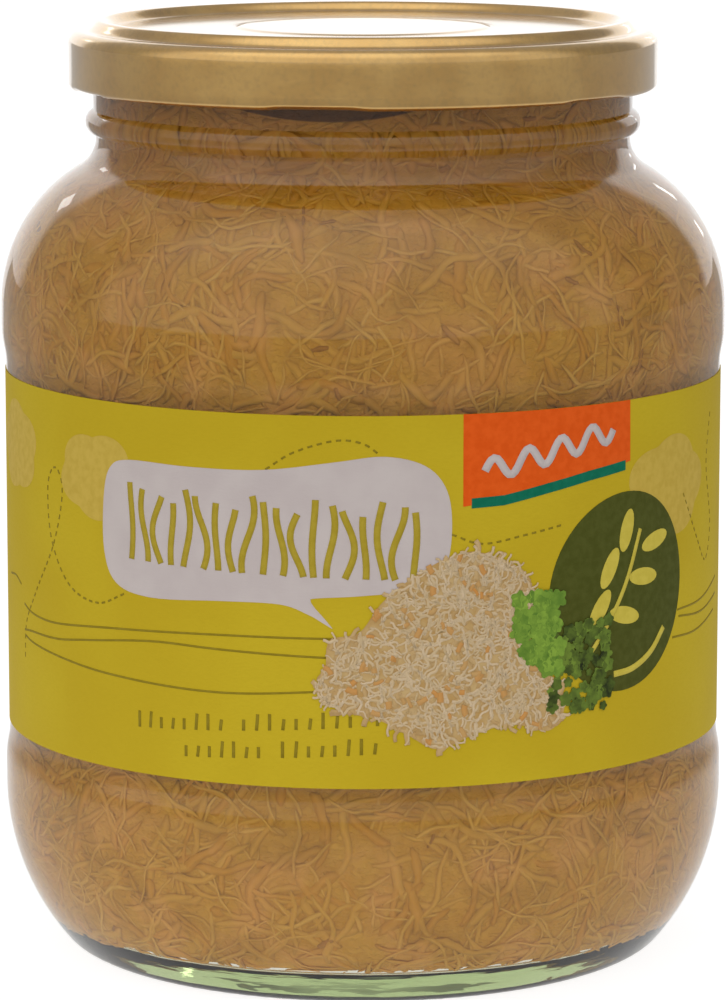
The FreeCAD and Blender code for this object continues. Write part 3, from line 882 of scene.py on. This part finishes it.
CLOUDS = (((-41.6, 41.2), 8.3, 6.3, 5, 0.4), ((-65.5, 42.5), 8.8, 6.6, 5, 1.1),
          ((51.2, 38.6), 10.6, 7.4, 5, 0.7), ((-96.0, 38.0), 9.0, 6.0, 5, 0.2),
          ((92.0, 36.0), 10.0, 6.5, 5, 0.9), ((130.0, 40.0), 9.0, 6.5, 5, 0.5))
clouds = [print_field(f"print_cloud_{number}", cloud(*shape), 1) for number, shape in enumerate(CLOUDS)]

# %% [markdown]
# ## Strokes in the place of words
# Upright strokes fill the bubble, small ticks in groups stand for the fine print, and dotted trails
# and hairlines cross the paper. All are thin ribbons from the same sweep as the shreds.
# %% Strokes, dashes and dotted lines
STROKES = 19
stroke_lines = []
for number in range(STROKES):
    start = -34.6 + number * 2.32
    low = 30.3 - 0.06 * number
    rise = np.linspace(0, 1, 24)
    sway = (0.25 + 0.35 * (number % 3)) * np.sin(math.tau * (0.7 * rise + 0.21 * number))
    stroke_lines.append(np.column_stack((start + sway, low + (10.8 - 0.7 * (number % 4)) * rise)))
strokes = print_lines("print_strokes", stroke_lines, 0.95, 3)

WORDS_ABOVE = (8, 11)
WORDS_BELOW = (7, 8)


def tick_row(start, end, words, gap=1.6):
    """Small upright ticks in groups, which stand for a line of small print."""
    start, end = np.array(start), np.array(end)
    count = sum(words)
    pitch = (np.hypot(*(end - start)) - gap * (len(words) - 1)) / (count - 1)
    way = (end - start) / np.hypot(*(end - start))
    ticks = []
    along = 0.0
    for word in words:
        for letter in range(word):
            foot = start + way * along
            tall = 2.3 if (letter * 7 + word) % 5 in (0, 3) else 1.55
            ticks.append(np.array([foot, foot + (0.18 * (letter % 2), tall)]))
            along += pitch
        along += gap
    return ticks


ticks = tick_row((-33.4, 6.6), (2.0, 8.9), WORDS_ABOVE) + tick_row((-25.6, 3.3), (1.6, 4.9), WORDS_BELOW)
small_print = print_lines("print_ticks", ticks, 0.45, 1, steps=3)

TRAILS = (((-13.5, 44.4), (-9.5, 46.9), (-3.8, 48.6), (0.0, 48.2), (2.6, 46.4)),
          ((-62.4, 12.0), (-61.8, 17.0), (-58.0, 22.0), (-52.0, 30.0), (-49.4, 38.0), (-51.2, 41.3),
           (-53.4, 38.5), (-52.6, 31.0), (-48.0, 25.0), (-41.5, 23.2), (-36.0, 25.2)),
          ((12.3, 35.4), (16.7, 33.9), (23.0, 34.7), (30.0, 35.8)),
          ((55.0, 37.0), (60.0, 30.0), (64.0, 26.0), (66.5, 31.0), (64.0, 40.0), (66.0, 48.0)))
DASH = 0.7
DASH_PITCH = 1.35
dots = []
for trail in TRAILS:
    line = curve_through(trail)
    along = ruler(line)
    for place in np.arange(0, along[-1] - DASH, DASH_PITCH):
        dots.append(places_on(line, along, np.array([place, place + DASH])))
dotted = print_lines("print_dotted", dots, 0.28, 1, steps=2)

HAIRLINES = (((-62.5, 19.8), (-59.2, 19.0), (-51.9, 18.8), (-38.4, 20.0), (-21.1, 20.9), (-2.7, 21.1)),
             ((-62.5, 16.0), (-59.3, 16.3), (-51.0, 16.6), (-43.5, 17.6), (-31.4, 19.0), (-21.1, 18.9),
              (-4.8, 18.4)),
             ((-62.0, 15.2), (-58.9, 14.7), (-49.0, 14.0), (-39.5, 13.4), (-21.1, 12.8), (-6.4, 13.6)),
             ((53.6, 20.4), (62.0, 20.6), (71.0, 22.4)), ((54.0, 19.4), (62.0, 18.8), (71.0, 19.9)),
             ((52.2, 16.6), (60.0, 16.4), (69.5, 17.7)), ((-70.7, 22.9), (-67.0, 23.2), (-64.0, 22.4)))
hairlines = print_lines("print_hairlines", [curve_through(line) for line in HAIRLINES], 0.3, 1, steps=40)

# %% The tag's wave and the badge's sprig
wave_along = np.linspace(0, 1, 60)
wave_line = np.column_stack((17.0 + 21.0 * wave_along,
                             44.0 + 4.2 * wave_along + 1.5 * np.sin(math.tau * 4 * wave_along)))
tag_wave = print_lines("print_tag_wave", [wave_line], 1.15, 3, steps=60)
stem = curve_through([(33.2, 16.0), (37.5, 21.0), (41.0, 26.5), (43.8, 33.5)])
smile = curve_through([(38.5, 13.4), (42.5, 13.8), (46.5, 15.6), (49.6, 18.6)])
sprig_lines = print_lines("print_sprig", [stem, smile], np.array([0.7, 0.9]), 3)
LEAVES = (((35.8, 23.0), 55), ((40.6, 21.6), -12), ((37.6, 28.6), 62),
          ((44.6, 26.6), -4), ((40.9, 33.6), 74), ((47.2, 31.4), 14))
leaves = [print_field(f"print_sprig_leaf_{number}", oval(centre, 3.1, 1.25, lean, 20), 3)
          for number, (centre, lean) in enumerate(LEAVES)]


# %% [markdown]
# ## The printed heap
# A picture of a heap of shreds with a sprig of parsley fills the middle of the label. It is built
# from a filled outline, three layers of short ribbons on it, and small fans for the leaves.
# %% The printed heap and its parsley
HEAP = rounded([
    (-6.5, 13.6), (-5.2, 16.8), (-4.6, 20.8), (-0.5, 22.0), (2.4, 25.9), (6.0, 29.0), (10.8, 31.8),
    (15.1, 32.9), (19.5, 31.6), (23.2, 29.4), (24.6, 25.5), (24.0, 20.0), (25.4, 15.6),
    (28.6, 13.6), (29.5, 9.6), (27.0, 6.8), (21.5, 8.2), (16.0, 7.4), (10.5, 5.4),
    (6.4, 7.4), (2.0, 9.8), (-3.0, 11.0)])


def inside_of(outline, right, up):
    """Which points lie inside a closed outline: each edge that a ray crosses turns the answer over."""
    inside = np.zeros(right.shape, bool)
    for (x0, y0), (x1, y1) in zip(outline, np.roll(outline, -1, axis=0)):
        crosses = (y0 > up) != (y1 > up)
        reach = x0 + (up - y0) / (y1 - y0 if y1 != y0 else 1) * (x1 - x0)
        inside ^= crosses & (right < reach)
    return inside


def printed_shreds(name, count, length, width, level, seed, drift=0.5):
    """Short printed ribbons whose middles lie inside the heap."""
    dice = np.random.default_rng(seed)
    right = dice.uniform(-8, 31, count * 4)
    up = dice.uniform(4, 34, count * 4)
    kept = np.flatnonzero(inside_of(HEAP, right, up))[:count]
    lines = []
    for place in kept:
        heading = dice.uniform(0, math.tau)
        size = dice.uniform(*length)
        t = np.linspace(-0.5, 0.5, 9)
        bend = heading + dice.normal(0, 1.1) * t + drift * np.sin(t * 9 + dice.uniform(0, 6))
        path = np.cumsum(np.column_stack((np.cos(bend), np.sin(bend))) * size / 8, axis=0)
        lines.append(path - path[4] + (right[place], up[place]))
    widths = dice.uniform(*width, len(lines))
    return print_lines(name, lines, widths, level, steps=9, tone=dice.uniform(0, 1, len(lines)))


heap = print_field("print_heap", HEAP, 4)
heap_low = printed_shreds("print_heap_tan", 260, (1.5, 5), (0.4, 0.9), 5, 11)
heap_top = printed_shreds("print_heap_cream", 820, (1.2, 3.6), (0.18, 0.42), 6, 13)
heap_bits = printed_shreds("print_heap_carrot", 60, (0.6, 1.6), (0.4, 0.95), 7, 17, drift=0.1)


def parsley(name, count, corner_low, corner_high, size, level, seed):
    """Small lobed leaves in one patch, each a fan of triangles."""
    dice = np.random.default_rng(seed)
    rim = np.arange(20) / 20 * math.tau
    points = []
    faces = []
    for number in range(count):
        middle = dice.uniform(corner_low, corner_high)
        reach = dice.uniform(*size) * (0.62 + 0.38 * np.abs(np.cos(2.5 * (rim + dice.uniform(0, 6)))))
        right = np.r_[middle[0], middle[0] + reach * np.cos(rim)]
        up = np.r_[middle[1], middle[1] + reach * np.sin(rim)]
        points.append(on_label(right, up, level + 0.3 * number / count))
        start = number * 21
        faces += [(start, start + 1 + side, start + 1 + (side + 1) % 20) for side in range(20)]
    mesh = bpy.data.meshes.new(name)
    mesh.from_pydata(np.vstack(points), [], faces)
    shade = mesh.attributes.new("tone", "FLOAT", "POINT")
    shade.data.foreach_set("value", np.repeat(dice.uniform(0, 1, count), 21).astype(np.float32))
    piece = bpy.data.objects.new(name, mesh)
    bpy.context.scene.collection.objects.link(piece)
    face_out(piece)
    add_modifier(piece, "SOLIDIFY", thickness=FILM * MM, offset=-1)
    return piece


parsley_dark = parsley("print_parsley_dark", 110, (27.0, 9.0), (37.5, 21.5), (0.5, 1.3), 8, 19)
parsley_light = parsley("print_parsley_light", 90, (22.0, 15.5), (28.6, 26.0), (0.6, 1.6), 9, 23)

# %% [markdown]
# ## Glass as a material
# Clear glass needs three things. It bends light by its index, 1.5. It takes some red and more blue
# out of what passes through, which makes thick edges green: a plain volume absorption. And the
# sun and lamps have to reach the filling through it: a path tracer would need thousands of samples
# to find that light, so shadow rays, and only they, see the glass as plain transparent.
# %% Clear glass
def clear_glass():
    shader = Shader("clear_glass")
    ripple = shader.noise(16, detail=1, stretch=(1, 1, 0.5)) * 0.7 + shader.noise(3.5, detail=1) * 0.08
    surface = shader.node("BsdfPrincipled", None, {
        "Base Color": (1, 1, 1, 1), "Roughness": 0.0, "IOR": 1.5, "Transmission Weight": 1.0,
        "Normal": shader.bump(ripple, 0.25)})
    shadow = shader.node("LightPath", out="Is Shadow Ray")
    clear = shader.node("BsdfTransparent", None, {"Color": (1, 1, 1, 1)})
    mixed = shader.node("MixShader", None, {0: shadow, 1: surface, 2: clear})
    body = shader.node("VolumeAbsorption", None, {"Color": (0.40, 0.52, 0.10, 1), "Density": 22.0})
    shader.node("OutputMaterial", None, {"Surface": mixed, "Volume": body})
    return shader.material


# %% [markdown]
# ## The other finishes
# Gold lacquer is a metal under a clear coat, and its peel is a very fine bump. Cabbage has a tone
# for each shred, veins, regions and painted shade under the lid, which run across bed and shreds
# alike, so that no seam shows between them. Paper is matt with fine fibres, and ink is a little uneven on it.
# %% Gold lacquer, wet cabbage, paper and ink
def gold_lacquer():
    shader = Shader("gold_lacquer")
    cloudy = shader.noise(9, detail=2).between(0.35, 0.65)
    specks = shader.noise(0.8, detail=2).between(0.4, 0.75)
    gold = shader.mix(cloudy, paint(200, 155, 75), paint(210, 167, 88))
    gold = shader.mix(specks * 0.25, gold, paint(160, 130, 70))
    peel = shader.noise(1.4, detail=2)
    return shader.finish(Base_Color=gold, Metallic=1.0, Roughness=0.22 + 0.04 * cloudy,
                         Coat_Weight=1.0, Coat_IOR=1.75, Coat_Roughness=0.08, Normal=shader.bump(peel, 0.02))


# Heights over which painted shade darkens the filling towards the lid, standing in for the lid's shadow.
LID_SHADE_LOW = 106.0
LID_SHADE_HIGH = 124.0
# Place and size of the painted shade of the hollow under the lid's front.
GAP_SHADE_MIDDLE = 5.0
GAP_SHADE_WIDTH = 14.0
GAP_SHADE_DEPTH = 2.0


def cabbage_patches_and_shade(shader, colour):
    """Soft paler and browner regions, painted shade high up under the lid, and a painted dark patch of shade
    in the hollow under the lid's front.
    """
    pale = shader.noise(9, detail=3, shift=2).between(0.45, 0.65)
    brown = shader.noise(7, detail=3, shift=7).between(0.48, 0.68)
    colour = shader.mix(pale * 0.45, colour, paint(236, 172, 96))
    colour = shader.mix(brown * 0.5, colour, paint(190, 136, 42))
    # Painted shade: the filling turns darker brown towards the lid, in place of the shadow that the lid
    # casts.
    lid_shade = shader.axis("Z").between(LID_SHADE_LOW * MM, LID_SHADE_HIGH * MM)
    colour = shader.mix(lid_shade * 0.36, colour, paint(170, 100, 34))
    # Painted shade: a dark brown patch above a low arch at the front, where the shadowed hollow under the lid
    # would be.
    gap_shade_aside = (shader.axis("X") + GAP_SHADE_MIDDLE * MM) * (1 / (GAP_SHADE_WIDTH * MM))
    edge = lid_low.z - GAP_SHADE_DEPTH * MM * (1 - gap_shade_aside * gap_shade_aside)
    gap = (shader.axis("Z") - edge).between(0, 0.3 * MM) * (1 - shader.axis("Y").between(-0.01, 0.0))
    return shader.mix(gap * 0.9, colour, paint(92, 54, 20))


def cabbage(name, dark, light, stain, wet):
    """One kind of shred: its tone comes from the number that each shred carries."""
    shader = Shader(name)
    tone = shader.node("Attribute", {"attribute_name": "tone"}, out="Fac")
    vein = shader.noise(2.2, detail=3).between(0.3, 0.7)
    colour = shader.mix(tone * 0.7 + vein * 0.3, paint(*dark), paint(*light))
    colour = shader.mix(vein * 0.3, colour, paint(*stain))
    colour = cabbage_patches_and_shade(shader, colour)
    return shader.finish(Base_Color=colour, Roughness=wet + 0.15 * vein, Specular_IOR_Level=0.15,
                         Normal=shader.bump(shader.noise(0.7, detail=2), 0.05))


def label_paper():
    shader = Shader("label_paper")
    fibre = shader.noise(0.9, detail=3, stretch=(1, 1, 3))
    patchy = shader.noise(22, detail=2).between(0.3, 0.7)
    ground = shader.mix(patchy, paint(196, 171, 34), paint(190, 163, 29))
    ground = shader.mix(fibre.between(0.35, 0.7) * 0.2, ground, paint(182, 157, 28))
    return shader.finish(Base_Color=ground, Roughness=0.6 + 0.1 * fibre, Specular_IOR_Level=0.1,
                         Normal=shader.bump(fibre, 0.03))


def ink(name, colour, second=None, use_tone=False, size=1.2):
    """Printed colour: a little uneven, because ink soaks into paper."""
    shader = Shader(name)
    uneven = shader.noise(size, detail=3).between(0.3, 0.7)
    if use_tone:
        uneven = uneven * 0.3 + shader.node("Attribute", {"attribute_name": "tone"}, out="Fac") * 0.7
    second = second or tuple(max(0, value - 8) for value in colour)
    film = shader.mix(uneven, paint(*colour), paint(*second))
    return shader.finish(Base_Color=film, Roughness=0.6 + 0.08 * uneven, Specular_IOR_Level=0.1,
                         Normal=shader.bump(shader.noise(0.9, detail=3, stretch=(1, 1, 3)), 0.03))


def bed_finish():
    shader = Shader("cabbage_bed")
    lumps = shader.noise(5, detail=3).between(0.3, 0.7)
    strings = shader.noise(1.6, detail=3, stretch=(1, 1, 1.6)).between(0.35, 0.65)
    colour = shader.mix(lumps, paint(216, 156, 50), paint(224, 168, 62))
    colour = shader.mix(strings * 0.3, colour, paint(200, 138, 42))
    colour = cabbage_patches_and_shade(shader, colour)
    return shader.finish(Base_Color=colour, Roughness=0.5 + 0.1 * strings, Specular_IOR_Level=0.1,
                         Normal=shader.bump(strings, 0.2))


# %% [markdown]
# ## Filing the pieces
# Each piece rides on the jar's one body and is given its material. Glass, lid,
# bed and paper take the places of the measured nodes, which are hidden; shreds and print are additions.
# %% File every piece
file_piece(glass, clear_glass(), "jar")
file_piece(lid, gold_lacquer(), "lid")
file_piece(bed, bed_finish(), "sauerkraut")
file_piece(label, label_paper(), "label")
CABBAGES = (
    (shreds_mid, "cabbage_mid", (216, 158, 52), (226, 170, 66), (210, 148, 46), 0.4),
    (shreds_pale, "cabbage_pale", (222, 166, 62), (230, 178, 80), (218, 160, 56), 0.38),
    (shreds_amber, "cabbage_amber", (212, 148, 44), (220, 158, 52), (208, 144, 38), 0.35),
    (specks, "cabbage_dark", (166, 110, 36), (188, 130, 46), (172, 114, 34), 0.4))
for piece, *look in CABBAGES:
    file_piece(piece, cabbage(*look))
PLAIN = {}
TONED = {"use_tone": True}
PRINTS = (
    ("print_white", (199, 188, 184), (193, 181, 178), {"size": 6}, [bubble, tag_wave]),
    ("print_orange", (228, 92, 22), None, PLAIN, [tag]),
    ("print_teal", (14, 112, 86), None, PLAIN, [strip]),
    ("print_dark_olive", (80, 84, 30), None, PLAIN, [badge]),
    ("print_pale_yellow", (200, 171, 74), None, PLAIN, clouds),
    ("print_yellow", (176, 154, 50), None, PLAIN, [strokes]),
    ("print_olive", (146, 128, 34), None, PLAIN, [small_print, dotted, hairlines]),
    ("print_badge_yellow", (206, 188, 76), None, PLAIN, [sprig_lines, *leaves]),
    ("print_heap", (196, 166, 115), (181, 144, 87), {"size": 2.5}, [heap]),
    ("print_tan", (198, 168, 120), (183, 147, 94), TONED, [heap_low]),
    ("print_cream", (211, 188, 155), (198, 171, 128), TONED, [heap_top]),
    ("print_carrot", (200, 140, 72), (190, 154, 100), TONED, [heap_bits]),
    ("print_parsley_dark", (116, 140, 52), (34, 40, 20), TONED, [parsley_dark]),
    ("print_parsley_light", (140, 172, 64), (76, 112, 38), TONED, [parsley_light]))
for name, colour, second, more, pieces in PRINTS:
    printed = ink(name, colour, second, **more)
    for piece in pieces:
        file_piece(piece, printed)

# %% [markdown]
# ## The studio
# The jar stands on a lit white table. A glossy jar shows its room, so the room matters more than
# the lamps. The backdrop is a bright, narrow patch behind the jar, which draws a pale edge down the
# silhouette and the milky band on the shoulder. The sides of the room and of the table are dim, so
# that the rest of the glass and the skirt of the lid stay clear, and the ceiling lights the filling
# from above. Three small lamps behind the jar put the window-like highlights on the shoulder.
# %% Floor, room and lamps
TABLE_LIGHT = 0.88
TABLE_SHADE = 0.28
NEAR_SHADE = 0.25
SHADE_START = 0.11
SHADE_END = 0.3
CONE_SLOPE = 6
SIDE_DIM = 0.6
LEFT_GAIN = 1.16
LEFT_TO_RIGHT = 0.26
LAMP_DISTANCE = 1.2
LAMP_AIM = 0.11
FRONT_LIGHT = 0.9
CEILING_LIGHT = 1.3
BACK_LIGHT = 1.25


def white_table():
    """A white table that is dim in reflections, except near the jar and in a cone behind it."""
    shader = Shader("white_table")
    tooth = shader.noise(30, detail=2).between(0.3, 0.7)
    colour = shader.mix(tooth, (0.26, 0.26, 0.26, 1), (0.24, 0.24, 0.24, 1))
    lit, shaded = [shader.node("BsdfPrincipled", None, {
        "Base Color": colour, "Roughness": 0.9, "Specular IOR Level": 0.1,
        "Emission Color": (1, 1, 1, 1), "Emission Strength": TABLE_LIGHT * share})
        for share in (1, TABLE_SHADE)]
    seen = shader.node("LightPath", out="Is Camera Ray")
    place = shader.node("TexCoord", out="Object")
    reach = shader.node("VectorMath", {"operation": "LENGTH"}, {0: place}, out="Value")
    across = shader.axis("X")
    back = shader.axis("Y")
    cone = (back * back - CONE_SLOPE * across * across).between(0.0, 0.12) * back.between(0.0, 0.1)
    away = (NEAR_SHADE + (1 - NEAR_SHADE) * reach.between(SHADE_START, SHADE_END)) * (1 - cone)
    table = shader.node("MixShader", None, {0: 1 - (1 - seen) * away, 1: shaded, 2: lit})
    shader.node("OutputMaterial", None, {"Surface": table})
    return shader.material


clear_selection()
bpy.ops.mesh.primitive_plane_add(size=40, location=(0, 0, 0))
floor = bpy.context.active_object
floor.name = "floor"
floor.data.materials.append(white_table())


def studio_room():
    """A bright patch low behind the jar, a lit ceiling, and a room that is dim at its sides."""
    shader = Shader("studio_room", bpy.data.worlds)
    behind = shader.axis("Y", "Generated").between(0.72, 0.8)
    height = shader.axis("Z", "Generated")
    below = 1 - height.between(0.46, 0.56)
    front = FRONT_LIGHT - (FRONT_LIGHT - CEILING_LIGHT) * height.between(0.5, 0.9)
    front = front * (1 - SIDE_DIM * shader.axis("Y", "Generated").between(-0.2, 0.2))
    front = front * (LEFT_GAIN - LEFT_TO_RIGHT * shader.axis("X", "Generated").between(-0.7, 0.7))
    light = front + (BACK_LIGHT - front) * behind * below
    room = shader.node("Background", None, {"Color": (1, 1, 1, 1), "Strength": light})
    shader.node("OutputWorld", None, {"Surface": room})
    return shader.material


bpy.context.scene.world = studio_room()


def soft_box(name, turn, rise, size, glow):
    """A lamp seen at a turn from the front and a rise above the floor, in degrees, that glows evenly."""
    lamp = bpy.data.lights.new(name, "AREA")
    lamp.shape = "RECTANGLE"
    lamp.size, lamp.size_y = size
    lamp.energy = glow * math.pi * size[0] * size[1]
    holder = bpy.data.objects.new(name, lamp)
    bpy.context.scene.collection.objects.link(holder)
    turn, rise = math.radians(turn), math.radians(rise)
    way = Vector((math.sin(turn) * math.cos(rise), -math.cos(turn) * math.cos(rise), math.sin(rise)))
    holder.location = Vector((0, 0, LAMP_AIM)) + way * LAMP_DISTANCE
    holder.rotation_euler = way.to_track_quat("Z", "Y").to_euler()


soft_box("left_window", -148, 20, (0.11, 0.08), 2)
soft_box("right_window_high", 158, 12.5, (0.035, 0.12), 2.5)
soft_box("right_window_low", 156, 4, (0.03, 0.06), 2.5)
bpy.context.scene.view_settings.view_transform = "Standard"
